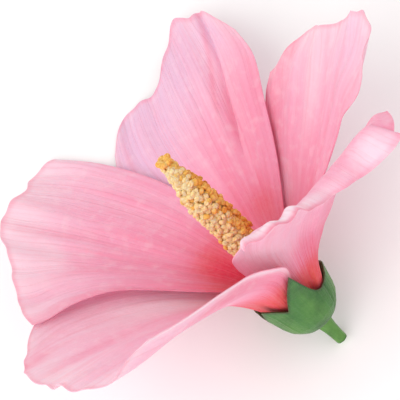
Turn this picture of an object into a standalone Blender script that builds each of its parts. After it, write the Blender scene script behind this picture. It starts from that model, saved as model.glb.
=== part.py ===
"""A rose of sharon bloom, cut with a short stalk and lying on its side.

The bloom has a frame of its own: its axis is local +Z, from the stalk to the mouth, with the
origin where the stalk meets the calyx. An empty carries that frame and lays it on the ground,
where the bloom rests on the rims of two petals and on the end of its stalk. Metres, +Z up.
"""

import math
import random

import bmesh
import bpy
import numpy as np
from mathutils import Matrix, Vector

MM = 0.001

# Petals: one funnel shared by all five, which each petal leaves as it nears its rim.
PETAL_LENGTH = 52.0 * MM
PETAL_HALF_WIDTH = 17.0 * MM
PETAL_THICKNESS = 0.56 * MM
CLAW_RADIUS = 2.35 * MM  # distance of a petal's foot from the bloom's axis
CLAW_HEIGHT = 2.2 * MM
TUBE_FLARE = math.radians(24)  # angle between the petals and the axis inside the calyx
MOUTH_FLARE = math.radians(53)  # the same angle past the throat
THROAT_START = 6.0 * MM  # distances along a petal between which the flare opens
THROAT_END = 17.5 * MM
PETAL_ROWS = 22
PETAL_COLUMNS = 20

# Calyx: a cup with five lobes, closed below by a thick floor that carries petals and column.
CALYX_WALL = 0.7 * MM
CALYX_TIP_WALL = 0.4 * MM
CALYX_FLOOR = 1.3 * MM
CALYX_SINUS = 6.8 * MM  # height of the notches between the lobes
CALYX_LOBES = (  # azimuth, height of the tip in mm, then half width in degrees and how hollow, of each side
    (347, 8.0, (36, 1.6), (36, 1.4)),
    (276, 15.0, (40, 1.1), (36, 3.2)),
    (221, 11.3, (32, 1.2), (40, 1.1)),
    (148, 10.4, (42, 1.4), (38, 1.3)),
    (70, 10.2, (38, 1.3), (42, 1.4)),
)
CALYX_HEIGHTS = (0.0, 0.5, 1.4, 2.6, 4.0, 6.5, 8.0, 10.0, 12.0, 14.5, 16.0)  # in mm
CALYX_RADII = (2.3, 3.7, 4.5, 5.3, 5.8, 6.4, 6.8, 7.5, 8.45, 9.85, 10.8)  # in mm, of the outer face
CALYX_COLUMNS = 60
CALYX_ROWS = 9

# Stalk: a short length of pedicel with a flat cut end.
STALK_LENGTH = 5.8 * MM
STALK_TOP_RADIUS = 1.65 * MM
STALK_RADIUS = 1.0 * MM
STALK_BEND = 0.15 * MM  # how far the cut end is out of line with the bloom's axis
JOIN_GAP = 0.3 * MM  # clearance between pieces that grow from each other

# Column: the tube of stamens, its anthers, and the style with its stigmas out of its top.
COLUMN_HEIGHTS = (1.6, 2.4, 5.0, 12.0, 20.0, 30.0, 36.0, 37.8)  # in mm, above the origin
COLUMN_RADII = (1.5, 1.5, 1.3, 1.25, 1.35, 1.3, 1.15, 0.8)  # in mm
COLUMN_SIDES = 14
ANTHER_COUNT = 64
ANTHER_FIRST = 15.5 * MM  # heights of the lowest and highest anthers
ANTHER_LAST = 37.0 * MM
ANTHER_REACH = 2.75 * MM  # how far from the axis an anther's end comes
ANTHER_HALF_LENGTH = 1.0 * MM
ANTHER_HALF_WIDTH = 0.62 * MM
GOLDEN_TURN = math.radians(137.5)
STYLE_RADIUS = 0.75 * MM
STYLE_TOP = 40.4 * MM
STIGMA_RADIUS = 0.75 * MM
STIGMA_SPREAD = 0.72 * MM

# How the bloom lies: roughly which way is down, and what points along +X, in its own frame.
# The exact tilt is the one in which it rests on three points.
ROUGH_DOWN = Vector((-0.11, 0.78, -0.62))
ALONG_X = Vector((0.707, -0.319, -0.631))

COLOURS = {
    "petal_back": (0.86, 0.42, 0.60),
    "petal_right": (0.85, 0.34, 0.48),
    "petal_front": (0.86, 0.38, 0.50),
    "petal_lower": (0.86, 0.40, 0.50),
    "petal_left": (0.87, 0.40, 0.50),
    "calyx": (0.12, 0.26, 0.09),
    "stalk": (0.36, 0.50, 0.22),
    "column": (0.86, 0.60, 0.20),
    "style": (0.90, 0.72, 0.34),
}


def smooth_step(low, high, value):
    """0 below low, 1 above high, and an even S between them."""
    t = np.clip((value - low) / (high - low), 0, 1)
    return t * t * (3 - 2 * t)


def through(stations, values, at):
    """A smooth curve through a few values at their stations, read at any place."""
    stations = np.asarray(stations, float)
    values = np.asarray(values, float)
    slopes = np.gradient(values, stations)
    at = np.clip(at, stations[0], stations[-1])
    i = np.clip(np.searchsorted(stations, at) - 1, 0, len(stations) - 2)
    step = stations[i + 1] - stations[i]
    t = (at - stations[i]) / step
    return (
        (2 * t**3 - 3 * t**2 + 1) * values[i]
        + (t**3 - 2 * t**2 + t) * step * slopes[i]
        + (3 * t**2 - 2 * t**3) * values[i + 1]
        + (t**3 - t**2) * step * slopes[i + 1]
    )


# Each petal. Angles are in degrees about the bloom's axis; widths and rims are shares of the
# driving sizes above. The left side is the one of lower azimuth. An order of +1 puts a side
# outside its neighbour, and -1 inside it.
SIDE_STATIONS = (-1.0, -0.67, -0.33, 0.0, 0.33, 0.67, 1.0)
WIDTH_STATIONS = (0.0, 0.15, 0.32, 0.5, 0.7, 0.86, 1.0)
COMMON = {
    "left": (0.07, 0.19, 0.44, 0.72, 0.95, 1.0, 0.90),  # half width from claw to rim
    "right": (0.07, 0.19, 0.44, 0.72, 0.95, 1.0, 0.90),
    "rim": (0.70, 0.90, 0.98, 1.0, 0.98, 0.90, 0.70),  # length from left side to right side
    "throat": (0.0, 0.0, 0.0),  # how much farther on the tube opens, in mm, on the same sides
    "open": (0.0, 0.0, 0.0),  # flare beyond the funnel's at left side, middle and right side
    "curl": (0, 0, 0, 0, 0, 0, 0),  # how far the rim bends over outwards, from side to side
    "reach": (5, 5, 5, 5, 5, 5, 5),  # how far from the rim that bend starts, in mm
    "roll": (0.0, 0.0),  # how far the foot of each side is rolled outwards, in mm
    "cup": (0.0, 0.0),  # how far the edge of each side is turned in towards the axis, in mm
    "order": (-1, 1),
    "flatness": (0.8, 0.8),  # 0 follows the funnel round, 1 is flat across
    "lobes": (),  # (side, width, mm) added to the rim's length
    "swells": (),  # (-1 left or 1 right, share of length, width, mm) added to the half width
}
PETALS = {
    "petal_back": {
        "azimuth": 70,
        "left": (0.07, 0.18, 0.40, 0.60, 0.73, 0.81, 0.75),
        "right": (0.06, 0.16, 0.43, 0.74, 0.99, 1.06, 0.98),
        "rim": (0.91, 1.04, 1.06, 1.02, 0.92, 0.90, 0.81),
        "open": (3, 7, 0),
        "order": (-1, 2.4),
        "lobes": (
            (-0.74, 0.12, 0.6),
            (-0.50, 0.07, -1.1),
            (-0.21, 0.17, 1.9),
            (0.22, 0.15, -0.8),
            (0.82, 0.15, 0.9),
        ),
    },
    "petal_right": {
        "azimuth": 4,
        "left": (0.07, 0.19, 0.42, 0.70, 0.74, 0.79, 0.88),
        "right": (0.07, 0.19, 0.44, 0.72, 0.97, 1.11, 1.12),
        "rim": (0.84, 0.97, 0.98, 0.92, 0.88, 0.83, 0.71),
        "open": (3, 0, 0),
        "order": (-2.8, 1.4),
        "lobes": ((-0.9, 0.12, 0.6), (-0.38, 0.2, -1.2), (0.2, 0.22, -0.9)),
        "swells": ((-1, 0.88, 0.08, 2.4), (-1, 0.74, 0.05, -0.9)),
    },
    "petal_front": {
        "azimuth": -67,
        "left": (0.07, 0.19, 0.42, 0.55, 0.63, 0.73, 0.86),
        "right": (0.07, 0.26, 0.60, 0.77, 1.02, 1.17, 1.12),
        "rim": (0.91, 0.93, 0.91, 0.88, 0.91, 1.0, 0.81),
        "throat": (12, 7, 0),
        "open": (8, 8, -5),
        "curl": (36, 38, 48, 75, 90, 66, 26),
        "reach": (3, 3, 4, 5, 8, 9, 8),
        "order": (-1.3, 3.5),
        "lobes": ((0.55, 0.2, 1.9), (0.88, 0.14, 1.8)),
    },
    "petal_lower": {
        "azimuth": -157,
        "left": (0.07, 0.24, 0.66, 1.08, 1.36, 1.46, 1.35),
        "right": (0.07, 0.37, 0.71, 0.88, 0.97, 0.97, 0.92),
        "rim": (0.82, 0.90, 0.98, 0.98, 0.99, 0.93, 0.81),
        "throat": (0, 1.5, 7),
        "open": (2, 11, 15),
        "order": (3, 2.1),
        "roll": (0.0, 2.0),
        "cup": (0.0, 3.2),
        "flatness": (0.1, 0.8),
        "lobes": ((-0.85, 0.2, 1.2), (-0.15, 0.2, -0.9)),
    },
    "petal_left": {
        "azimuth": 132,
        "left": (0.06, 0.16, 0.43, 0.74, 0.96, 1.02, 0.96),
        "right": (0.07, 0.19, 0.35, 0.45, 0.62, 0.90, 1.18),
        "rim": (0.97, 1.03, 1.03, 1.02, 0.94, 0.88, 0.79),
        "open": (5, 0, 0),
        "order": (-1, -1.8),
        "lobes": ((-0.55, 0.13, -1.2), (0.02, 0.12, 0.7), (0.3, 0.1, 0.3), (0.98, 0.15, 0.3)),
        "swells": ((1, 0.93, 0.06, 1.0),),
    },
}


def hump(value, centre, width):
    """1 at the centre, fading evenly to nothing about two widths away."""
    return np.exp(-(((value - centre) / width) ** 2))


def midlines(petal, side):
    """Distance from the axis and height along it, by distance along the petal and by side."""
    along = np.linspace(0, 1.3 * PETAL_LENGTH, 131)
    past = along[:, None] - MM * through((-1, 0, 1), petal["throat"], side)[None, :]
    flare = TUBE_FLARE + (MOUTH_FLARE - TUBE_FLARE) * smooth_step(THROAT_START, THROAT_END, past)
    opening = np.radians(through((-1, 0, 1), petal["open"], side))
    leaving = smooth_step(0.3, 0.9, along / PETAL_LENGTH)
    flare = flare + leaving[:, None] * opening[None, :]
    end = PETAL_LENGTH * through(SIDE_STATIONS, petal["rim"], side)
    reach = MM * through(SIDE_STATIONS, petal["reach"], side)
    curl = np.radians(through(SIDE_STATIONS, petal["curl"], side))
    flare = flare + curl * smooth_step(end - reach, end, along[:, None])
    step = along[1] - along[0]
    start = np.zeros((1, len(side)))
    radius = CLAW_RADIUS + np.concatenate([start, np.cumsum(np.sin(flare[:-1]) * step, axis=0)])
    height = CLAW_HEIGHT + np.concatenate([start, np.cumsum(np.cos(flare[:-1]) * step, axis=0)])
    return along, radius, height


def half_widths(petal, key, sign, share):
    width = PETAL_HALF_WIDTH * through(WIDTH_STATIONS, petal[key], share)
    for which, centre, spread, height in petal["swells"]:
        if which == sign:
            width = width + height * MM * hump(share, centre, spread)
    return width


def petal_surface(petal, rows, columns):
    """Points of the petal's middle surface, rows from claw to rim and columns from side to side."""
    share = np.linspace(0, 1, rows + 1)[:, None]
    side = np.linspace(-1, 1, columns + 1)
    rim = through(SIDE_STATIONS, petal["rim"], side)[None, :]
    for centre, width, height in petal["lobes"]:
        rim = rim + height * MM / PETAL_LENGTH * hump(side, centre, width)
    along = PETAL_LENGTH * share * (1 - share**1.5 * (1 - rim))
    left = half_widths(petal, "left", -1, share)
    right = half_widths(petal, "right", 1, share)
    across = side[None, :] * np.where(side[None, :] < 0, left, right)
    stations, radii, heights = midlines(petal, side)
    each = range(columns + 1)
    radius = np.stack([np.interp(along[:, i], stations, radii[:, i]) for i in each], 1)
    height = np.stack([np.interp(along[:, i], stations, heights[:, i]) for i in each], 1)
    flat = np.where(side < 0, *petal["flatness"])
    flat = flat * smooth_step(0.4, 0.9, along / PETAL_LENGTH)
    turn = across / radius
    sideways = (1 - flat) * radius * np.sin(turn) + flat * across
    outwards = radius - (1 - flat) * radius * (1 - np.cos(turn))
    azimuth = math.radians(petal["azimuth"])
    points = np.stack(
        [
            outwards * math.cos(azimuth) - sideways * math.sin(azimuth),
            outwards * math.sin(azimuth) + sideways * math.cos(azimuth),
            height,
        ],
        axis=-1,
    )
    offset = settle(petal, share, side)
    return points + offset[..., None] * inward_normals(points)


def settle(petal, share, side):
    """How far a petal stands in from the funnel, to pass inside or outside its neighbours."""
    left, right = ((side < 0) * np.abs(side), (side > 0) * np.abs(side))
    order = petal["order"][0] * smooth_step(0.1, 0.8, left)
    order = order + petal["order"][1] * smooth_step(0.1, 0.8, right)
    roll = petal["roll"][0] * smooth_step(0.7, 1.3, left)
    roll = 2 * (roll + petal["roll"][1] * smooth_step(0.7, 1.3, right))
    near = np.clip(order, -1, 1)
    settled = near * smooth_step(0.02, 0.12, share) + (order - near) * smooth_step(0.15, 0.3, share)
    rolled = smooth_step(0.27, 0.45, share) * (1 - smooth_step(0.5, 0.95, share))
    cup = petal["cup"][0] * smooth_step(0.65, 1.05, left) + petal["cup"][1] * smooth_step(0.65, 1.05, right)
    cupped = smooth_step(0.3, 0.55, share) * (1 - 0.25 * smooth_step(0.6, 0.9, share))
    return MM * (cup[None, :] * cupped - 0.5 * settled - roll[None, :] * rolled)


def inward_normals(points):
    """Unit normals of a grid of points, on the side of the bloom's axis."""
    down = np.gradient(points, axis=0)
    across = np.gradient(points, axis=1)
    normal = np.cross(down, across)
    return normal / np.linalg.norm(normal, axis=-1, keepdims=True)


def new_object(name, points, faces):
    mesh = bpy.data.meshes.new(name)
    mesh.from_pydata(np.asarray(points).tolist(), [], [list(map(int, face)) for face in faces])
    obj = bpy.data.objects.new(name, mesh)
    bpy.context.scene.collection.objects.link(obj)
    return obj


def sheet(name, points, thickness):
    """A sheet through a grid of points, thickened to a closed solid."""
    rows, columns = points.shape[:2]
    index = np.arange(rows * columns).reshape(rows, columns)
    faces = np.stack([index[:-1, :-1], index[:-1, 1:], index[1:, 1:], index[1:, :-1]], -1)
    obj = new_object(name, points.reshape(-1, 3), faces.reshape(-1, 4))
    solid = obj.modifiers.new("Thickness", "SOLIDIFY")
    solid.thickness = thickness
    solid.offset = 0
    return obj


def closed_rings(name, rings):
    """A solid through rings of points, each turning anticlockwise seen from the last of them."""
    count, sides = len(rings), len(rings[0])
    index = np.arange(count * sides).reshape(count, sides)
    after = np.roll(index, -1, axis=1)
    walls = np.stack([index[:-1], after[:-1], after[1:], index[1:]], -1).reshape(-1, 4)
    first, last = count * sides, count * sides + 1
    faces = list(walls)
    faces += [(first, b, a) for a, b in zip(index[0], after[0])]
    faces += [(last, a, b) for a, b in zip(index[-1], after[-1])]
    ends = [np.mean(rings[0], axis=0), np.mean(rings[-1], axis=0)]
    return new_object(name, np.concatenate([*rings, ends]), faces)


def circle(radius, height, sides, centre=(0.0, 0.0)):
    turn = np.linspace(0, math.tau, sides, endpoint=False)
    height = np.broadcast_to(height, turn.shape)
    x = centre[0] + radius * np.cos(turn)
    y = centre[1] + radius * np.sin(turn)
    return np.stack([x, y, height], -1)


def lobe_places(azimuth):
    """How far each azimuth is from each lobe's middle, from -1 to 1 across the lobe."""
    places = []
    for centre, _, before, after in CALYX_LOBES:
        away = (azimuth - centre + 180) % 360 - 180
        places.append(away / np.where(away < 0, before[0], after[0]))
    return np.array(places)


def calyx_tops(azimuth):
    """Height of the calyx's edge at each azimuth, in degrees."""
    tops = np.full_like(azimuth, CALYX_SINUS)
    for (_, tip, before, after), place in zip(CALYX_LOBES, lobe_places(azimuth)):
        hollow = np.where(place < 0, before[1], after[1])
        rise = np.clip(1 - np.abs(place), 0, 1) ** hollow
        tops = np.maximum(tops, CALYX_SINUS + (tip * MM - CALYX_SINUS) * rise)
    return tops


def make_calyx():
    azimuth = np.linspace(0, 360, CALYX_COLUMNS, endpoint=False)
    # A column of the mesh falls on the tip of the longest lobe.
    azimuth = azimuth + CALYX_LOBES[1][0] % (360 / CALYX_COLUMNS)
    turn = np.radians(azimuth)
    tops = calyx_tops(azimuth)
    outer_z = np.asarray(CALYX_HEIGHTS) * MM
    outer_r = np.asarray(CALYX_RADII) * MM
    rings = []
    for share in np.linspace(0, 1, CALYX_ROWS + 1):
        z = tops * share**1.2
        r = np.interp(z, outer_z, outer_r)
        rings.append(np.stack([r * np.cos(turn), r * np.sin(turn), z], -1))
    for share in np.linspace(1, 0, CALYX_ROWS):
        z = CALYX_FLOOR + (tops - CALYX_FLOOR) * share
        wall = CALYX_WALL + (CALYX_TIP_WALL - CALYX_WALL) * smooth_step(8 * MM, 10 * MM, z)
        r = np.interp(z, outer_z, outer_r) - wall / math.cos(TUBE_FLARE)
        rings.append(np.stack([r * np.cos(turn), r * np.sin(turn), z], -1))
    return closed_rings("calyx", rings)


def make_stalk():
    rings = []
    for share in np.linspace(0, 1, 6):
        height = -STALK_LENGTH + share * (STALK_LENGTH - JOIN_GAP)
        bend = STALK_BEND * (1 - share) ** 1.5
        radius = STALK_RADIUS + (STALK_TOP_RADIUS - STALK_RADIUS) * share**2
        rings.append(circle(radius, height, 16, (bend, 0.2 * bend)))
    return closed_rings("stalk", rings)


def blob(collection, centre, direction, half_length, half_width):
    """A lump of twenty faces, longest along its direction, put in a collection."""
    mesh = bpy.data.meshes.new("lump")
    shape = bmesh.new()
    bmesh.ops.create_icosphere(shape, subdivisions=1, radius=1.0)
    turn = Vector((0, 0, 1)).rotation_difference(direction).to_matrix().to_4x4()
    size = Matrix.Diagonal((half_width, half_width, half_length, 1))
    shape.transform(Matrix.Translation(centre) @ turn @ size)
    shape.to_mesh(mesh)
    shape.free()
    collection.objects.link(bpy.data.objects.new("lump", mesh))


def fuse(obj, collection):
    """Joins every object of the collection to one solid, and removes them."""
    union = obj.modifiers.new("Fused", "BOOLEAN")
    union.operation = "UNION"
    union.operand_type = "COLLECTION"
    union.collection = collection
    union.solver = "EXACT"
    graph = bpy.context.evaluated_depsgraph_get()
    fused = bpy.data.meshes.new_from_object(obj.evaluated_get(graph))
    obj.modifiers.clear()
    obj.data = fused
    for lump in list(collection.objects):
        bpy.data.objects.remove(lump)
    bpy.data.collections.remove(collection)


def make_column(rng):
    stations = zip(COLUMN_HEIGHTS, COLUMN_RADII)
    rings = [circle(radius * MM, height * MM, COLUMN_SIDES) for height, radius in stations]
    column = closed_rings("column", rings)
    lumps = bpy.data.collections.new("anthers")
    bpy.context.scene.collection.children.link(lumps)
    for i in range(ANTHER_COUNT):
        share = (i + 0.5) / ANTHER_COUNT
        height = ANTHER_FIRST + share * (ANTHER_LAST - ANTHER_FIRST)
        taper = 1 - 0.3 * smooth_step(0.8, 1.0, share) - 0.15 * (1 - smooth_step(0.0, 0.2, share))
        turn = i * GOLDEN_TURN + rng.uniform(-0.2, 0.2)
        rise = rng.uniform(0.1, 0.6)
        direction = Vector((math.cos(turn), math.sin(turn), rise)).normalized()
        reach = ANTHER_REACH * taper * rng.uniform(0.9, 1.05)
        centre = direction * (reach - ANTHER_HALF_LENGTH) + Vector((0, 0, height))
        blob(lumps, centre, direction, ANTHER_HALF_LENGTH, ANTHER_HALF_WIDTH)
    fuse(column, lumps)
    return column


def make_style():
    foot = COLUMN_HEIGHTS[-1] * MM + JOIN_GAP
    rings = [circle(STYLE_RADIUS, foot, 10), circle(STYLE_RADIUS, STYLE_TOP, 10)]
    style = closed_rings("style", rings)
    lumps = bpy.data.collections.new("stigmas")
    bpy.context.scene.collection.children.link(lumps)
    for i in range(5):
        turn = i * math.tau / 5
        centre = Vector((math.cos(turn), math.sin(turn), 0)) * STIGMA_SPREAD
        centre.z = STYLE_TOP + (0.5 if i % 2 else 0.2) * MM
        blob(lumps, centre, Vector((0, 0, 1)), STIGMA_RADIUS, STIGMA_RADIUS)
    fuse(style, lumps)
    return style


def triangles(objects):
    """Points of every triangle of the objects, in the bloom's own frame."""
    bpy.context.view_layer.update()
    graph = bpy.context.evaluated_depsgraph_get()
    found = []
    for obj in objects:
        mesh = obj.evaluated_get(graph).to_mesh()
        mesh.calc_loop_triangles()
        points = np.array([vertex.co for vertex in mesh.vertices])
        found.append(points[[list(face.vertices) for face in mesh.loop_triangles]])
    return np.concatenate(found)


def centre_of_volume(corners):
    volume = np.einsum("ij,ij->i", corners[:, 0], np.cross(corners[:, 1], corners[:, 2]))
    return (corners.sum(axis=1) * volume[:, None]).sum(axis=0) / (4 * volume.sum())


def resting_down(corners):
    """Which way is down when the bloom stands still on three points, nearest the rough way."""
    centre = Vector(centre_of_volume(corners))
    hull = bmesh.new()
    for point in np.unique(corners.reshape(-1, 3), axis=0):
        hull.verts.new(point)
    bmesh.ops.convex_hull(hull, input=hull.verts)
    hull.normal_update()
    found = []
    for face in hull.faces:
        a, b, c = (vertex.co for vertex in face.verts[:3])
        foot = centre + face.normal * face.normal.dot(a - centre)
        inside = all(
            (end - start).cross(foot - start).dot(face.normal) > 0
            for start, end in ((a, b), (b, c), (c, a))
        )
        if inside:
            found.append((face.normal.dot(ROUGH_DOWN), face.normal.copy()))
    hull.free()
    return max(found, key=lambda pair: pair[0])[1]


def lay_down(bloom, objects):
    """Turns the bloom to its resting tilt and puts the middle of its underside at the origin."""
    corners = triangles(objects)
    tilt = resting_down(corners).rotation_difference(Vector((0, 0, -1))).to_matrix()
    ahead = tilt @ ALONG_X
    turn = Matrix.Rotation(-math.atan2(ahead.y, ahead.x), 3, "Z") @ tilt
    points = corners.reshape(-1, 3) @ np.array(turn).T
    low, high = points.min(axis=0), points.max(axis=0)
    move = Vector((-(low[0] + high[0]) / 2, -(low[1] + high[1]) / 2, -low[2]))
    bloom.matrix_world = Matrix.Translation(move) @ turn.to_4x4()


def colour(obj):
    material = bpy.data.materials.new(obj.name)
    material.use_nodes = True
    shader = material.node_tree.nodes["Principled BSDF"]
    shader.inputs["Base Color"].default_value = (*COLOURS[obj.name], 1)
    shader.inputs["Roughness"].default_value = 0.6
    obj.data.materials.clear()
    obj.data.materials.append(material)


def main():
    for old in list(bpy.data.objects):
        bpy.data.objects.remove(old)
    rng = random.Random(5)
    objects = [make_calyx(), make_stalk(), make_column(rng), make_style()]
    for name, changes in PETALS.items():
        points = petal_surface({**COMMON, **changes}, PETAL_ROWS, PETAL_COLUMNS)
        objects.append(sheet(name, points, PETAL_THICKNESS))
    bloom = bpy.data.objects.new("bloom", None)
    bpy.context.scene.collection.objects.link(bloom)
    lay_down(bloom, objects)
    for obj in objects:
        obj.parent = bloom
        colour(obj)


main()
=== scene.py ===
"""The look of a cut rose of sharon bloom: its petals, stamens, calyx and stalk, and how they are lit.

Each solid has a piece here of the same form, finer, with its thin edges, folds, veins and
colours, and the column gains its anthers and their threads. The bloom has a frame of its own:
its axis is local +Z, from the stalk to the mouth, with the origin where the stalk meets the
calyx. Metres.
"""

import math
import random

import bpy
import numpy as np
from mathutils import Matrix, Vector

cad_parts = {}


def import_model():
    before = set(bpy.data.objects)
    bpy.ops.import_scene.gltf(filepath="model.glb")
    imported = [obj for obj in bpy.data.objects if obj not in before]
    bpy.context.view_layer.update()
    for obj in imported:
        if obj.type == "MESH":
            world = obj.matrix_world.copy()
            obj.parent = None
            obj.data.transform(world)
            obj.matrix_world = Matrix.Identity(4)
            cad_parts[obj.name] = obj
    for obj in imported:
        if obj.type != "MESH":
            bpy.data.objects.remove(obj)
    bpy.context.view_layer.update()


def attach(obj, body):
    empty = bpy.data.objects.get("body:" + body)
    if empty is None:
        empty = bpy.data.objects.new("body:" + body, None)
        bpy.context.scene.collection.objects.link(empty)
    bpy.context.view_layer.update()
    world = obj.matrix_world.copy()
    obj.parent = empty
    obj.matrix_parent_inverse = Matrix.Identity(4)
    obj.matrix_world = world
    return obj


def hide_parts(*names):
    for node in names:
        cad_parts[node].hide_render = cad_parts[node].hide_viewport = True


MM = 0.001

# How the bloom lies: where its origin is, which way its axis points, and how it is turned on it.
BASE = Vector((18.093, -17.541, 4.743)) * MM
AXIS_HEADING = math.radians(137.0317)
AXIS_RISE = math.radians(43.7882)
AXIS_SPIN = math.radians(174.4646)

# The photograph's view, in the bloom's frame.
VIEW_TILT = math.radians(26.8)  # how far the mouth is turned towards the camera
VIEW_ROLL = math.radians(45)  # the axis leans this far to the left in the picture
CAMERA_DISTANCE = 0.45
PICTURE_SIZE = 400  # pixels
PICTURE_PIXEL = 0.16 * MM
PICTURE_ORIGIN = (322, 320)  # where the bloom's origin falls in the picture
VIEW_DEPTH = 20 * MM  # distance up the axis of the point that the camera's distance is set from
SENSOR = 36.0
CLIP_START = 0.01

# Light and floor.
LAMP_DISTANCE = 0.9
LAMP_SIZE = 0.9
LAMP_AIM = Vector((0, 0, 0.02))
LAMPS = (  # name, direction as picture right, picture up and towards the camera, watts, colour
    ("key", (-0.75, -0.1, 0.75), 3.4, (1.0, 0.98, 0.96)),
    ("fill", (0.6, 0.7, 0.5), 1.0, (0.95, 0.97, 1.0)),
    ("below", (-0.35, -0.85, 0.45), 2.8, (1.0, 0.98, 0.97)),
)
SKY_COLOUR = (1.0, 0.99, 0.98, 1.0)
SKY_STRENGTH = 0.80
FLOOR_HALF = 1.5
FLOOR_DARK = (0.96, 0.96, 0.96, 1.0)
FLOOR_LIGHT = (0.99, 0.99, 0.99, 1.0)

# Petals: one funnel shared by all five, which each petal leaves as it nears its rim.
PETAL_LENGTH = 52.0 * MM
PETAL_HALF_WIDTH = 17.0 * MM
CLAW_RADIUS = 2.35 * MM
CLAW_HEIGHT = 2.2 * MM
TUBE_FLARE = math.radians(24)
MOUTH_FLARE = math.radians(53)
THROAT_START = 6.0 * MM
THROAT_END = 17.5 * MM
FUNNEL_STEPS = 261
FUNNEL_REACH = 1.3  # the funnel goes on this many petal lengths
PETAL_ROWS = 150
PETAL_COLUMNS = 120
FOOT_THICKNESS = 0.50 * MM
BLADE_THICKNESS = 0.34 * MM
EDGE_THICKNESS = 0.14 * MM
CREPE_WAVES = ((9, 0.13), (15, 0.10), (23, 0.07), (37, 0.035))  # how many, and mm high
RIM_WAVES = ((11, 0.12), (19, 0.12), (31, 0.10))  # how many, and mm long
STREAK_WAVES = (9, 17, 31, 53)
EDGE_TINT = 0.35  # how strongly the very edge of a petal is deep rose

SIDE_STATIONS = (-1.0, -0.67, -0.33, 0.0, 0.33, 0.67, 1.0)
WIDTH_STATIONS = (0.0, 0.15, 0.32, 0.5, 0.7, 0.86, 1.0)
COMMON = {
    "left": (0.07, 0.19, 0.44, 0.72, 0.95, 1.0, 0.90),  # half width from claw to rim
    "right": (0.07, 0.19, 0.44, 0.72, 0.95, 1.0, 0.90),
    "rim": (0.70, 0.90, 0.98, 1.0, 0.98, 0.90, 0.70),  # length from left side to right side
    "throat": (0.0, 0.0, 0.0),  # how much farther on the tube opens, in mm, on the same sides
    "open": (0.0, 0.0, 0.0),  # flare beyond the funnel's at left side, middle and right side
    "curl": (0, 0, 0, 0, 0, 0, 0),  # how far the rim bends over outwards, from side to side
    "reach": (5, 5, 5, 5, 5, 5, 5),  # how far from the rim that bend starts, in mm
    "roll": (0.0, 0.0),  # how far the foot of each side is rolled outwards, in mm
    "cup": (0.0, 0.0),  # how far the edge of each side is turned in towards the axis, in mm
    "order": (-1, 1),  # +1 puts a side outside its neighbour, and -1 inside it
    "flatness": (0.8, 0.8),  # 0 follows the funnel round, 1 is flat across
    "lobes": (),  # (side, width, mm) added to the rim's length
    "swells": (),  # (-1 left or 1 right, share of length, width, mm) added to the half width
    "folds": (),  # (side at foot, side at rim, width, mm towards the axis, from share, to share)
    "ruffle": (0.5, 3.0, 0.0),  # height of the rim's waves in mm, how many, and where they start
    "washes": (),  # placed colours, among them painted light over shaded hollows and a painted highlight, see paint()
    "backs": (),  # the same on the outer face
}
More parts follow.
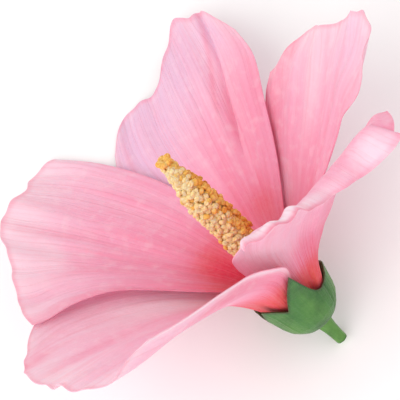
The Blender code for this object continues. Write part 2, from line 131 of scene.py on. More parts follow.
PETALS = {
    "petal_back": {
        "azimuth": 70,
        "left": (0.07, 0.18, 0.40, 0.60, 0.73, 0.81, 0.75),
        "right": (0.06, 0.16, 0.43, 0.74, 0.99, 1.06, 0.98),
        "rim": (0.91, 1.04, 1.06, 1.02, 0.92, 0.90, 0.81),
        "open": (3, 7, 0),
        "order": (-1, 2.4),
        "lobes": (
            (-0.74, 0.12, 0.6),
            (-0.50, 0.07, -1.1),
            (-0.21, 0.17, 1.9),
            (0.22, 0.15, -0.8),
            (0.82, 0.15, 0.9),
        ),
        "folds": (
            (-0.10, -0.62, 0.045, -0.9, 0.45, 1.3),
            (0.05, -0.36, 0.12, 0.7, 0.4, 1.3),
        ),
        "ruffle": (0.22, 2.6, 0.8),
        "washes": (
            (0.25, 0.92, 0.75, 0.22, 0.0, "lavender", 0.75),
            (0.75, 0.70, 0.34, 0.34, 0.0, "lavender", 0.70),
            (-0.24, 0.88, 0.16, 0.16, 0.0, "mauve", 0.35),
            (0.55, 0.86, 0.06, 0.20, 0.2, "mauve", 0.25),
            (-0.56, 0.66, 0.26, 0.15, -0.3, "deep_rose", 0.42),
            (-0.90, 0.72, 0.18, 0.35, 0.0, "pink", 0.50),
            (-0.10, 0.58, 0.45, 0.18, 0.0, "pink", 0.35),
            (-0.62, 0.93, 0.16, 0.08, 0.0, "lavender", 0.60),
            (-0.40, 0.80, 0.03, 0.20, -1.0, "deep_rose", 0.50),
            (-0.30, 0.28, 1.00, 0.07, 0.0, "pink", 0.60),
            (-0.42, 0.33, 0.35, 0.05, 0.0, "coral", 0.60),
        ),
    },
    "petal_right": {
        "azimuth": 4,
        "left": (0.07, 0.19, 0.42, 0.70, 0.74, 0.79, 0.88),
        "right": (0.07, 0.19, 0.44, 0.72, 0.97, 1.11, 1.12),
        "rim": (0.84, 0.97, 0.98, 0.92, 0.88, 0.83, 0.71),
        "open": (3, 0, 0),
        "order": (-2.8, 1.4),
        "lobes": ((-0.9, 0.12, 0.6), (-0.38, 0.2, -1.2), (0.2, 0.22, -0.9)),
        "swells": ((-1, 0.88, 0.08, 2.4), (-1, 0.74, 0.05, -0.9)),
        "folds": ((0.55, 0.66, 0.16, 0.7, 0.35, 1.0), (-0.05, 0.10, 0.10, -0.5, 0.4, 1.1)),
        "washes": (
            (0.95, 0.72, 0.24, 0.50, 0.0, "deep_rose", 0.62),
            (0.30, 0.80, 0.16, 0.22, 0.2, "blush", 0.55),
            (-0.35, 0.90, 0.30, 0.16, 0.0, "lavender", 0.50),
            (-0.90, 0.65, 0.22, 0.40, 0.0, "pink", 0.35),
            (0.10, 0.60, 0.05, 0.25, 0.1, "pink", 0.35),
            (0.90, 0.38, 0.35, 0.10, 0.0, "shell", 0.80),
            (0.30, 0.34, 0.50, 0.08, 0.0, "pink", 0.60),
        ),
    },
    "petal_front": {
        "azimuth": -67,
        "left": (0.07, 0.19, 0.42, 0.55, 0.63, 0.73, 0.86),
        "right": (0.07, 0.26, 0.60, 0.77, 1.02, 1.17, 1.12),
        "rim": (0.91, 0.93, 0.91, 0.88, 0.91, 1.0, 0.81),
        "throat": (12, 7, 0),
        "open": (8, 8, -5),
        "curl": (36, 38, 48, 75, 90, 66, 26),
        "reach": (3, 3, 4, 5, 8, 9, 8),
        "order": (-1.3, 3.5),
        "lobes": ((0.55, 0.2, 1.9), (0.88, 0.14, 1.8)),
        "folds": ((0.7, 0.9, 0.5, -0.7, -0.1, 0.5), (-0.72, -0.72, 0.2, 1.0, 0.4, 1.3)),
        "washes": (
            (-0.2, 0.95, 1.3, 0.09, 0.0, "rose", 0.75),
            # A narrow snow-white band along the curled lip: a painted highlight.
            (-0.35, 0.955, 0.75, 0.035, 0.0, "snow", 0.95),
            (-0.55, 1.01, 0.50, 0.022, 0.0, "deep_rose", 0.85),
            (0.60, 0.90, 0.70, 0.12, 0.0, "rose", 0.85),
            (0.48, 0.95, 0.13, 0.07, 0.0, "blush", 0.80),
            (0.92, 0.90, 0.25, 0.25, 0.0, "pink", 0.80),
            (0.25, 0.86, 0.40, 0.05, 0.0, "deep_rose", 0.35),
        ),
        "backs": (
            (0.85, 0.36, 0.30, 0.26, 0.0, "deep_rose", 0.55),
            (-0.65, 0.34, 0.50, 0.18, 0.0, "blush", 0.85),
            (-0.75, 0.96, 0.35, 0.07, 0.0, "deep_rose", 0.55),
            (-0.10, 0.38, 0.35, 0.14, 0.0, "shell", 0.50),
            (0.10, 0.26, 0.90, 0.04, 0.0, "pink", 0.50),
            (0.05, 0.16, 1.00, 0.06, 0.0, "scarlet", 0.55),
        ),
    },
    "petal_lower": {
        "azimuth": -157,
        "left": (0.07, 0.24, 0.66, 1.08, 1.36, 1.46, 1.35),
        "right": (0.07, 0.37, 0.71, 0.88, 0.97, 0.97, 0.92),
        "rim": (0.82, 0.90, 0.98, 0.98, 0.99, 0.93, 0.81),
        "throat": (0, 1.5, 7),
        "open": (2, 11, 15),
        "order": (3, 2.1),
        "roll": (0.0, 2.0),
        "cup": (0.0, 3.2),
        "flatness": (0.1, 0.8),
        "lobes": ((-0.85, 0.2, 1.2), (-0.15, 0.2, -0.9)),
        "folds": ((-0.35, -0.20, 0.10, -0.6, 0.45, 1.0), (0.10, 0.15, 0.12, 0.5, 0.5, 1.1)),
        "washes": (
            (-0.20, 0.95, 0.30, 0.09, 0.0, "blush", 0.75),
            # These two pale washes lighten the hollow that petal_left shades on this petal: painted light.
            (-0.90, 0.45, 0.50, 0.32, 0.0, "blush", 1.00),
            (-0.92, 0.62, 0.25, 0.20, 0.0, "shell", 0.70),
            (-0.55, 0.95, 0.20, 0.08, 0.0, "pink", 0.55),
            (0.05, 0.70, 0.10, 0.25, 0.0, "shell", 0.50),
            (-0.28, 0.72, 0.05, 0.22, 0.2, "pink", 0.45),
            (0.45, 0.80, 0.20, 0.20, 0.0, "rose", 0.40),
            (0.98, 0.70, 0.08, 0.55, 0.0, "snow", 0.80),
        ),
        "backs": (
            (0.80, 0.52, 0.13, 0.18, 0.0, "deep_rose", 0.75),
            (0.97, 0.64, 0.045, 0.40, 0.0, "snow", 0.80),
            (0.60, 0.17, 0.80, 0.10, 0.0, "scarlet", 0.95),
        ),
    },
    "petal_left": {
        "azimuth": 132,
        "left": (0.06, 0.16, 0.43, 0.74, 0.96, 1.02, 0.96),
        "right": (0.07, 0.19, 0.35, 0.45, 0.62, 0.90, 1.18),
        "rim": (0.97, 1.03, 1.03, 1.02, 0.94, 0.88, 0.79),
        "open": (5, 0, 0),
        "order": (-1, -1.8),
        "lobes": ((-0.55, 0.13, -1.2), (0.02, 0.12, 0.7), (0.3, 0.1, 0.3), (0.98, 0.15, 0.3)),
        "swells": ((1, 0.93, 0.06, 1.0),),
        "folds": (
            (0.25, 0.42, 0.10, -0.5, 0.4, 1.1),
            (-0.30, -0.25, 0.12, 0.4, 0.4, 1.1),
            (0.0, 0.05, 0.08, 0.35, 0.5, 1.0),
        ),
        "washes": (
            (-0.22, 0.33, 0.50, 0.05, 0.0, "scarlet", 0.42),
            (-0.10, 0.26, 0.60, 0.07, 0.0, "crimson", 1.00),
            (0.25, 0.84, 0.22, 0.05, 0.0, "blush", 0.75),
            (0.12, 0.72, 0.20, 0.04, 0.0, "shell", 0.60),
            (0.05, 0.93, 0.70, 0.07, 0.0, "blush", 0.55),
            (0.72, 0.90, 0.10, 0.12, 0.0, "rose", 0.55),
            (0.30, 0.60, 0.40, 0.18, 0.0, "pink", 0.35),
            (-0.60, 0.62, 0.25, 0.25, 0.0, "pink", 0.25),
            (0.97, 0.70, 0.05, 0.50, 0.0, "deep_rose", 0.55),
        ),
    },
}

# Colours of the bloom, as six-digit codes.
COLOURS = {
    "snow": "fdf0f3",
    "blush": "fadde5",
    "shell": "fac9da",
    "rose": "f8afc8",
    "pink": "f79ab7",
    "deep_rose": "f07c99",
    "coral": "ec6473",
    "crimson": "ea2a50",
    "scarlet": "e6452f",
    "lavender": "e8c3de",
    "mauve": "d9a6c2",
    "leaf": "43783a",
    "leaf_light": "619145",
    "leaf_dark": "1e4c22",
    "bark": "4a4a2c",
    "pith": "b9cd9c",
    "cream": "fae6b4",
    "gold": "f5c266",
    "honey": "eeae4c",
    "amber": "da8c36",
    "rust": "b5702f",
}
PETAL_DEPTH = np.array((0.95, 0.88, 0.93))  # share of its red, green and blue that a petal gives back
INNER_STOPS = (  # colour by share of the petal's length, from its foot to its rim
    (0.18, "crimson"),
    (0.28, "coral"),
    (0.36, "deep_rose"),
    (0.46, "pink"),
    (0.68, "rose"),
    (0.86, "shell"),
    (0.99, "blush"),
)
OUTER_STOPS = (
    (0.15, "scarlet"),
    (0.20, "coral"),
    (0.26, "deep_rose"),
    (0.34, "pink"),
    (0.52, "rose"),
    (0.90, "shell"),
    (1.00, "blush"),
)

# Calyx and stalk.
CALYX_WALL = 0.6 * MM
CALYX_TIP_WALL = 0.4 * MM
CALYX_EDGE = 0.22 * MM
CALYX_FLOOR = 1.3 * MM
CALYX_SINUS = 6.8 * MM
CALYX_LOBES = (  # azimuth, tip's height in mm, then each side's half width in degrees and hollowness
    (347, 8.0, (36, 1.6), (36, 1.4)),
    (276, 15.0, (40, 1.1), (36, 3.2)),
    (221, 11.3, (32, 1.2), (40, 1.1)),
    (148, 10.4, (42, 1.4), (38, 1.3)),
    (70, 10.2, (38, 1.3), (42, 1.4)),
)
CALYX_HEIGHTS = (0.0, 0.5, 1.4, 2.6, 4.0, 6.5, 8.0, 10.0, 12.0, 14.5, 16.0)  # in mm
CALYX_RADII = (2.3, 3.7, 4.5, 5.3, 5.8, 6.4, 6.8, 7.5, 8.45, 9.85, 10.8)  # in mm, of the outer face
CALYX_COLUMNS = 360
CALYX_ROWS = 48
STALK_LENGTH = 5.8 * MM
STALK_TOP_RADIUS = 1.65 * MM
STALK_RADIUS = 1.0 * MM
STALK_BEND = 0.15 * MM
STALK_COLUMNS = 64
STALK_ROWS = 24
CUT_RINGS = (0.25, 0.6, 0.93)  # rings across the cut end, as shares of its radius
CUT_HOLLOW = 0.05 * MM

# Column.
COLUMN_HEIGHTS = (1.6, 2.4, 5.0, 12.0, 20.0, 30.0, 36.0, 37.8)  # in mm
COLUMN_RADII = (1.5, 1.5, 1.3, 1.25, 1.35, 1.3, 1.15, 0.8)  # in mm
COLUMN_SIDES = 48
COLUMN_ROWS = 90
ANTHER_COUNT = 1150
ANTHER_FIRST = 13.0 * MM
ANTHER_LAST = 38.7 * MM
ANTHER_BED = 0.75 * MM  # how much thicker the tube is where the anthers sit
ANTHER_BED_FOOT = (13, 15)  # in mm up the tube, from where that begins to where it is whole
ANTHER_BED_TOP = (30, 37)
ANTHER_REACH = 2.9 * MM
ANTHER_SIZE = (0.53 * MM, 0.37 * MM, 0.34 * MM)  # half length, half width, half thickness
GOLDEN_TURN = math.radians(137.5)
# Anthers on this side of the column get darker tones, a painted shade; the steps sort that shade, height
# and chance into the four pollen tones.
PAINTED_SHADE_SIDE = np.array((0.8, 0.6, 0.0))
SHADE_AND_TONE_STEPS = (-0.40, 0.55, 1.45)
POLLEN_TONES = (("cream", "gold"), ("gold", "honey"), ("honey", "amber"), ("amber", "rust"))
THREAD_FOOT = 1.15 * MM  # a thread's start, from the column's middle
THREAD_RISE = 0.9 * MM
THREAD_SAG = 0.35 * MM
THREAD_SIDES = 5
THREAD_ROWS = 5
STYLE_BRANCHES = 5
STYLE_SIDES = 16
STYLE_ROWS = 14
STYLE_TOP = 40.3 * MM
STIGMA_RADIUS = 0.78 * MM
SEED = 7


def circle(count):
    """Evenly spaced angles all the way round."""
    return np.linspace(0, math.tau, count, endpoint=False)


def smooth_step(low, high, value):
    """0 below low, 1 above high, and an even S between them."""
    t = np.clip((value - low) / (high - low), 0, 1)
    return t * t * (3 - 2 * t)


def through(stations, values, at):
    """A smooth curve through a few values at their stations, read at any place."""
    stations = np.asarray(stations, float)
    values = np.asarray(values, float)
    slopes = np.gradient(values, stations)
    at = np.clip(at, stations[0], stations[-1])
    i = np.clip(np.searchsorted(stations, at) - 1, 0, len(stations) - 2)
    step = stations[i + 1] - stations[i]
    t = (at - stations[i]) / step
    return (
        (2 * t**3 - 3 * t**2 + 1) * values[i]
        + (t**3 - 2 * t**2 + t) * step * slopes[i]
        + (3 * t**2 - 2 * t**3) * values[i + 1]
        + (t**3 - t**2) * step * slopes[i + 1]
    )


def hump(value, centre, width):
    """1 at the centre, fading evenly to nothing about two widths away."""
    return np.exp(-(((value - centre) / width) ** 2))


def linear(name):
    """One of the bloom's colours, as the light it gives back."""
    code = COLOURS[name]
    parts = np.array([int(code[i : i + 2], 16) / 255 for i in (0, 2, 4)])
    return np.where(parts <= 0.04045, parts / 12.92, ((parts + 0.055) / 1.055) ** 2.4)


def mixed(one, other, share):
    """Between two colours, by a share for each point."""
    return one + (other - one) * np.asarray(share)[..., None]


def bloom_matrix():
    """Places the bloom's own frame in the part's."""
    level = math.cos(AXIS_RISE)
    axis = Vector((level * math.cos(AXIS_HEADING), level * math.sin(AXIS_HEADING), math.sin(AXIS_RISE)))
    flat = Vector((0, 0, 1)).cross(axis).normalized()
    steep = axis.cross(flat)
    x = flat * math.cos(AXIS_SPIN) + steep * math.sin(AXIS_SPIN)
    turn = Matrix((x, axis.cross(x), axis)).transposed()
    return Matrix.Translation(BASE) @ turn.to_4x4()


BLOOM = bloom_matrix()


def new_object(name, data):
    obj = bpy.data.objects.new(name, data)
    bpy.context.scene.collection.objects.link(obj)
    return obj


def new_piece(name, points, faces, material, node=None):
    """A mesh piece from points in the bloom's frame, riding on the part and standing for a solid."""
    turn = np.array(BLOOM.to_3x3())
    placed = np.asarray(points, float).reshape(-1, 3) @ turn.T + np.array(BLOOM.translation)
    mesh = bpy.data.meshes.new(name)
    mesh.from_pydata(placed.tolist(), [], [list(map(int, face)) for face in faces])
    mesh.shade_smooth()
    mesh.set_sharp_from_angle(angle=math.radians(60))
    for each in material if isinstance(material, (list, tuple)) else [material]:
        mesh.materials.append(each)
    obj = new_object(name, mesh)
    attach(obj, "root")
    if node:
        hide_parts(node)
    return obj


def set_tint(obj, colours):
    layer = obj.data.color_attributes.new("tint", "FLOAT_COLOR", "POINT")
    whole = np.concatenate([colours, np.ones((len(colours), 1))], axis=1)
    layer.data.foreach_set("color", whole.astype(np.float32).ravel())


def set_map(obj, name, places):
    """A map that gives each point two numbers, which the materials' patterns follow."""
    corners = np.empty(len(obj.data.loops), np.int32)
    obj.data.loops.foreach_get("vertex_index", corners)
    layer = obj.data.uv_layers.new(name=name, do_init=False)
    layer.uv.foreach_set("vector", places[corners].astype(np.float32).ravel())


def grid_faces(rows, columns, first=0, flipped=False):
    index = first + np.arange(rows * columns).reshape(rows, columns)
    faces = np.stack([index[:-1, :-1], index[:-1, 1:], index[1:, 1:], index[1:, :-1]], -1)
    faces = faces.reshape(-1, 4)
    return faces[:, ::-1] if flipped else faces


def inward_normals(points):
    """Unit normals of a grid of points, on the side of the bloom's axis."""
    down = np.gradient(points, axis=0)
    across = np.gradient(points, axis=1)
    normal = np.cross(down, across)
    return normal / np.linalg.norm(normal, axis=-1, keepdims=True)


def midlines(petal, side, end):
    """Distance from the axis and height along it, by distance along the petal and by side."""
    along = np.linspace(0, FUNNEL_REACH * PETAL_LENGTH, FUNNEL_STEPS)
    past = along[:, None] - MM * through((-1, 0, 1), petal["throat"], side)[None, :]
    flare = TUBE_FLARE + (MOUTH_FLARE - TUBE_FLARE) * smooth_step(THROAT_START, THROAT_END, past)
    opening = np.radians(through((-1, 0, 1), petal["open"], side))
    leaving = smooth_step(0.3, 0.9, along / PETAL_LENGTH)
    flare = flare + leaving[:, None] * opening[None, :]
    reach = MM * through(SIDE_STATIONS, petal["reach"], side)
    curl = np.radians(through(SIDE_STATIONS, petal["curl"], side))
    flare = flare + curl * smooth_step(end - reach, end, along[:, None])
    step = along[1] - along[0]
    start = np.zeros((1, len(side)))
    radius = CLAW_RADIUS + np.concatenate([start, np.cumsum(np.sin(flare[:-1]) * step, axis=0)])
    height = CLAW_HEIGHT + np.concatenate([start, np.cumsum(np.cos(flare[:-1]) * step, axis=0)])
    return along, radius, height


def half_widths(petal, key, sign, share):
    """Width of one side of the petal, by share of its length."""
    width = PETAL_HALF_WIDTH * through(WIDTH_STATIONS, petal[key], share)
    for which, centre, spread, height in petal["swells"]:
        if which == sign:
            width = width + height * MM * hump(share, centre, spread)
    return width


def crepe(share, side, seed):
    """Height of the fine lengthwise crinkles that fan out over a petal."""
    rng = random.Random(seed)
    height = np.zeros(np.broadcast(share, side).shape)
    for waves, size in CREPE_WAVES:
        for _ in range(2):
            start = rng.uniform(0, math.tau)
            sway = rng.uniform(0, math.tau)
            swing = rng.uniform(0.3, 0.9)
            fade = 0.5 + 0.5 * np.sin(5 * share + 3 * side + rng.uniform(0, math.tau))
            wave = np.sin(waves * side + start + swing * np.sin(4 * share + sway))
            height = height + size * fade * wave
    return height * MM * smooth_step(0.15, 0.7, share)


def petal_surface(petal, seed):
    """Points of the petal's middle surface, rows from claw to rim and columns from side to side."""
    share = np.linspace(0, 1, PETAL_ROWS + 1)[:, None]
    side = np.linspace(-1, 1, PETAL_COLUMNS + 1)
    rim = through(SIDE_STATIONS, petal["rim"], side)
    end = PETAL_LENGTH * rim
    for centre, width, height in petal["lobes"]:
        rim = rim + height * MM / PETAL_LENGTH * hump(side, centre, width)
    rng = random.Random(seed)
    for waves, size in RIM_WAVES:
        rim = rim + size * MM / PETAL_LENGTH * np.sin(waves * side + rng.uniform(0, math.tau))
    along = PETAL_LENGTH * share * (1 - share**1.5 * (1 - rim[None, :]))
    left = half_widths(petal, "left", -1, share)
    right = half_widths(petal, "right", 1, share)
    across = side[None, :] * np.where(side[None, :] < 0, left, right)
    stations, radii, heights = midlines(petal, side, end)
    each = range(len(side))
    radius = np.stack([np.interp(along[:, i], stations, radii[:, i]) for i in each], 1)
    height = np.stack([np.interp(along[:, i], stations, heights[:, i]) for i in each], 1)
    flat = np.where(side < 0, *petal["flatness"]) * smooth_step(0.4, 0.9, along / PETAL_LENGTH)
    turn = across / radius
    sideways = (1 - flat) * radius * np.sin(turn) + flat * across
    outwards = radius - (1 - flat) * radius * (1 - np.cos(turn))
    azimuth = math.radians(petal["azimuth"])
    points = np.stack(
        [
            outwards * math.cos(azimuth) - sideways * math.sin(azimuth),
            outwards * math.sin(azimuth) + sideways * math.cos(azimuth),
            height,
        ],
        axis=-1,
    )
    offset = settle(petal, share, side) + relief(petal, share, side, seed)
    return points + offset[..., None] * inward_normals(points)


def settle(petal, share, side):
    """How far a petal stands in from the funnel, to pass inside or outside its neighbours."""
    left = (side < 0) * np.abs(side)
    right = (side > 0) * np.abs(side)
    order = petal["order"][0] * smooth_step(0.1, 0.8, left)
    order = order + petal["order"][1] * smooth_step(0.1, 0.8, right)
    roll = petal["roll"][0] * smooth_step(0.7, 1.3, left)
    roll = 2 * (roll + petal["roll"][1] * smooth_step(0.7, 1.3, right))
    near = np.clip(order, -1, 1)
    settled = near * smooth_step(0.02, 0.12, share) + (order - near) * smooth_step(0.15, 0.3, share)
    rolled = smooth_step(0.27, 0.45, share) * (1 - smooth_step(0.5, 0.95, share))
    cup = petal["cup"][0] * smooth_step(0.65, 1.05, left)
    cup = cup + petal["cup"][1] * smooth_step(0.65, 1.05, right)
    cupped = smooth_step(0.3, 0.55, share) * (1 - 0.25 * smooth_step(0.6, 0.9, share))
    return MM * (cup[None, :] * cupped - 0.5 * settled - roll[None, :] * rolled)


def relief(petal, share, side, seed):
    """Folds, the waves of the rim and fine crinkles, as a height towards the axis."""
    height = crepe(share, side[None, :], seed)
    for foot, rim, width, size, start, stop in petal["folds"]:
        middle = foot + (rim - foot) * share
        shown = smooth_step(start, start + 0.2, share) * (1 - smooth_step(stop - 0.12, stop + 0.02, share))
        height = height + size * MM * hump(side[None, :], middle, width) * shown
    size, waves, start = petal["ruffle"]
    edge = 0.8 * smooth_step(0.8, 1.0, np.abs(side[None, :])) * smooth_step(0.3, 0.7, share)
    edge = edge + smooth_step(0.72, 1.0, share)
    wave = np.sin(math.pi * waves * side[None, :] + start + 5 * share)
    wave = wave + 0.5 * np.sin(math.pi * 2.3 * waves * side[None, :] + 2 * start + 9 * share)
    return height + size * MM * edge * wave


def thickness(share, side):
    """Half the petal's thickness: stout at the claw and thin at its edges."""
    blade = FOOT_THICKNESS + (BLADE_THICKNESS - FOOT_THICKNESS) * smooth_step(0.05, 0.4, share)
    to_edge = np.minimum(8 * (1 - share), 14 * (1 - np.abs(side)) * np.clip(share, 0.2, 1))
    edge = smooth_step(0, 1, to_edge)
    return 0.5 * (EDGE_THICKNESS + (blade - EDGE_THICKNESS) * edge)


def paint(colours, share, side, washes):
    """Lays soft washes of colour on a petal: each has its middle by side and share, its half
    width and half length, how it leans, its colour and its strength."""
    for at_side, at_share, width, length, lean, name, strength in washes:
        away = (side - at_side - lean * (share - at_share)) / width
        far = (share - at_share) / length
        colours = mixed(colours, linear(name), strength * np.exp(-((away**2 + far**2) ** 1.3)))
    return colours


def stops(at, pairs):
    """Colour at each place along a row of (place, colour name) pairs."""
    places = [place for place, _ in pairs]
    tones = np.array([linear(name) for _, name in pairs])
    return np.stack([np.interp(at, places, tones[:, i]) for i in range(3)], -1)


def petal_colours(petal, share, side, outer, seed):
    """The petal's colour from its red foot through rose to a pale rim."""
    rng = random.Random(seed + 40)
    streak = np.zeros(np.broadcast(share, side).shape)
    for waves in STREAK_WAVES:
        streak = streak + 0.5 * np.sin(waves * side + rng.uniform(0, math.tau) + 1.2 * np.sin(3 * share))
    colours = stops(share + 0.02 * streak, OUTER_STOPS if outer else INNER_STOPS)
    colours = paint(colours, share, side, petal["backs" if outer else "washes"])
    edge = np.maximum(smooth_step(0.975, 0.995, share), smooth_step(0.97, 0.995, np.abs(side)))
    edge = edge * smooth_step(0.3, 0.5, share)
    return PETAL_DEPTH * mixed(colours, linear("deep_rose"), EDGE_TINT * edge)


def make_petal(name, petal, material, seed):
    """One petal: its inner and outer faces, joined round the edge."""
    points = petal_surface(petal, seed)
    rows, columns = points.shape[:2]
    share = np.linspace(0, 1, rows)[:, None]
    side = np.linspace(-1, 1, columns)[None, :]
    offset = inward_normals(points) * thickness(share, side)[..., None]
    inner, outer = points + offset, points - offset
    count = rows * columns
    index = np.arange(count).reshape(rows, columns)
    border = np.concatenate([index[0], index[1:, -1], index[-1, -2::-1], index[-2:0:-1, 0]])
    after = np.roll(border, -1)
    edge = np.stack([after, border, border + count, after + count], -1)
    faces = np.concatenate(
        [grid_faces(rows, columns), grid_faces(rows, columns, count, True), edge]
    )
    obj = new_piece(
        name + "_skin",
        np.concatenate([inner.reshape(-1, 3), outer.reshape(-1, 3)]),
        faces,
        material,
        name,
    )
    fronts = petal_colours(petal, share, side, False, seed).reshape(-1, 3)
    backs = petal_colours(petal, share, side, True, seed).reshape(-1, 3)
    set_tint(obj, np.concatenate([fronts, backs]))
    fan = np.stack(np.broadcast_arrays(side + 2.3 * seed, share), -1).reshape(-1, 2)
    set_map(obj, "fan", np.concatenate([fan, fan]))


def tube_faces(rings, sides, first=0):
    """Walls and end caps of a tube through rings of points."""
    index = first + np.arange(rings * sides).reshape(rings, sides)
    after = np.roll(index, -1, axis=1)
    walls = np.stack([index[:-1], after[:-1], after[1:], index[1:]], -1).reshape(-1, 4)
    return [*walls, list(index[0][::-1]), list(index[-1])]


def lobe_places(azimuth):
    """How far each azimuth is from each lobe's middle, from -1 to 1 across the lobe."""
    places = []
    for centre, _, before, after in CALYX_LOBES:
        away = (azimuth - centre + 180) % 360 - 180
        places.append(away / np.where(away < 0, before[0], after[0]))
    return np.array(places)


def calyx_tops(azimuth):
    """Height of the calyx's edge at each azimuth, in degrees."""
    tops = np.full_like(azimuth, CALYX_SINUS)
    for (_, tip, before, after), place in zip(CALYX_LOBES, lobe_places(azimuth)):
        hollow = np.where(place < 0, before[1], after[1])
        rise = np.clip(1 - np.abs(place), 0, 1) ** hollow
        tops = np.maximum(tops, CALYX_SINUS + (tip * MM - CALYX_SINUS) * rise)
    return tops


def make_calyx(material):
    """A cup with five uneven lobes: rings up its outer face, then down its inner one."""
    azimuth = np.linspace(0, 360, CALYX_COLUMNS, endpoint=False)
    turn = np.radians(azimuth)
    tops = calyx_tops(azimuth)
    places = lobe_places(azimuth)
    place = places[np.argmin(np.abs(places), axis=0), np.arange(len(azimuth))]
    outer_z = np.asarray(CALYX_HEIGHTS) * MM
    outer_r = np.asarray(CALYX_RADII) * MM
    shares = np.linspace(0, 1, CALYX_ROWS + 1)
    rings = []
    for share in shares:
        z = tops * share**1.2
        rib = 0.10 * hump(place, 0, 0.06) + 0.06 * hump(np.abs(place), 0.5, 0.05)
        seam = -0.14 * hump(np.abs(place), 1, 0.07)
        lift = (rib + seam) * MM * smooth_step(0.1, 0.4, share)
        r = np.interp(z, outer_z, outer_r) + lift
        rings.append(np.stack([r * np.cos(turn), r * np.sin(turn), z], -1))
    for share in shares[::-1]:
        z = CALYX_FLOOR + (tops - CALYX_FLOOR) * share
        wall = CALYX_WALL + (CALYX_TIP_WALL - CALYX_WALL) * smooth_step(8 * MM, 10 * MM, z)
        wall = CALYX_EDGE + (wall - CALYX_EDGE) * smooth_step(0, 0.35, 1 - share)
        r = np.interp(z, outer_z, outer_r) - wall / math.cos(TUBE_FLARE)
        rings.append(np.stack([r * np.cos(turn), r * np.sin(turn), z], -1))
    points = np.concatenate(rings)
    faces = tube_faces(len(rings), CALYX_COLUMNS)
    obj = new_piece("calyx_skin", points, faces, material, "calyx")
    share = np.repeat(np.concatenate([shares, shares[::-1]]), CALYX_COLUMNS)
    inside = np.repeat([0.0, 1.0], len(shares) * CALYX_COLUMNS)
    place = np.tile(place, len(rings))
    colours = mixed(linear("leaf_dark"), linear("leaf"), smooth_step(0.0, 0.35, share))
    # Each lobe lighter down its bulging middle and darker where it meets the next: painted highlight and
    # painted shade.
    colours = mixed(colours, linear("leaf_light"), 0.55 * hump(place, 0, 0.5) * hump(share, 0.45, 0.3))
    colours = mixed(colours, linear("leaf_dark"), 0.5 * hump(np.abs(place), 1, 0.16) * share)
    colours = mixed(colours, linear("leaf_light"), 0.5 * inside)
    colours = mixed(colours, linear("leaf_dark"), 0.75 * smooth_step(0.90, 0.97, share))
    colours = mixed(colours, linear("bark"), 0.8 * smooth_step(0.965, 0.985, share))
    set_tint(obj, colours)
    set_map(obj, "fan", np.stack([np.tile(azimuth / 360, len(rings)), share], -1))


def make_stalk(material):
    """A short bent stalk, from its cut end up to the calyx."""
    rings, tints = [], []
    turn = circle(STALK_COLUMNS)
    for share in np.linspace(0, 1, STALK_ROWS + 1):
        height = -STALK_LENGTH + share * STALK_LENGTH
        bend = STALK_BEND * (1 - share) ** 1.5
        radius = STALK_RADIUS + (STALK_TOP_RADIUS - STALK_RADIUS) * share**2
        radius = radius * (1 + 0.02 * np.sin(7 * turn + 2 * share) + 0.012 * np.sin(15 * turn))
        x = bend + radius * np.cos(turn)
        y = 0.2 * bend + radius * np.sin(turn)
        rings.append(np.stack([x, y, np.full_like(turn, height)], -1))
        tints.append(np.tile(linear("leaf_light" if share else "leaf_dark"), (STALK_COLUMNS, 1)))
    end = rings[0]
    middle = end.mean(axis=0)
    cut = [middle + (end - middle) * size - [0, 0, CUT_HOLLOW * (1 - size)] for size in CUT_RINGS]
    rings = cut + rings
    tints = [np.tile(linear("pith"), (STALK_COLUMNS, 1))] * len(cut) + tints
    points = np.concatenate(rings)
    faces = tube_faces(len(rings), STALK_COLUMNS)
    obj = new_piece("stalk_skin", points, faces, material, "stalk")
    set_tint(obj, np.concatenate(tints))
    around = np.tile(turn / math.tau, len(rings))
    set_map(obj, "fan", np.stack([around, points[:, 2] / MM / 10], -1))


def frames(outward, spin):
    """For each outward direction, a turned frame with that direction as its third axis."""
    outward = outward / np.linalg.norm(outward, axis=1, keepdims=True)
    level = np.cross(outward, [0.3, 0.2, 1.0])
    level = level / np.linalg.norm(level, axis=1, keepdims=True)
    steep = np.cross(outward, level)
    first = level * np.cos(spin)[:, None] + steep * np.sin(spin)[:, None]
    return np.stack([first, np.cross(outward, first), outward], axis=2)


def anther_shape():
    """A kidney-shaped lump with a groove along its outer side, of size 1."""
    rings, sides = 9, 12
    up = np.linspace(0, math.pi, rings)[1:-1, None]
    turn = circle(sides)[None, :]
    x = np.cos(up) + 0 * turn
    y = np.sin(up) * np.cos(turn)
    z = np.sin(up) * np.sin(turn)
    z = z - 0.45 * x**2 - 0.35 * hump(y, 0, 0.25) * smooth_step(0, 0.6, z)
    walls = np.stack([x, y, z], -1).reshape(-1, 3)
    return walls, tube_faces(rings - 2, sides)


def many(shape, centres, turns, sizes):
    """Copies of a shape, each placed, turned and sized, as points and faces of one mesh."""
    points, faces = shape
    placed = np.einsum("nij,nj,pj->npi", turns, sizes, points) + centres[:, None, :]
    count = len(points)
    joined = [[corner + i * count for corner in face] for i in range(len(centres)) for face in faces]
    return placed.reshape(-1, 3), joined


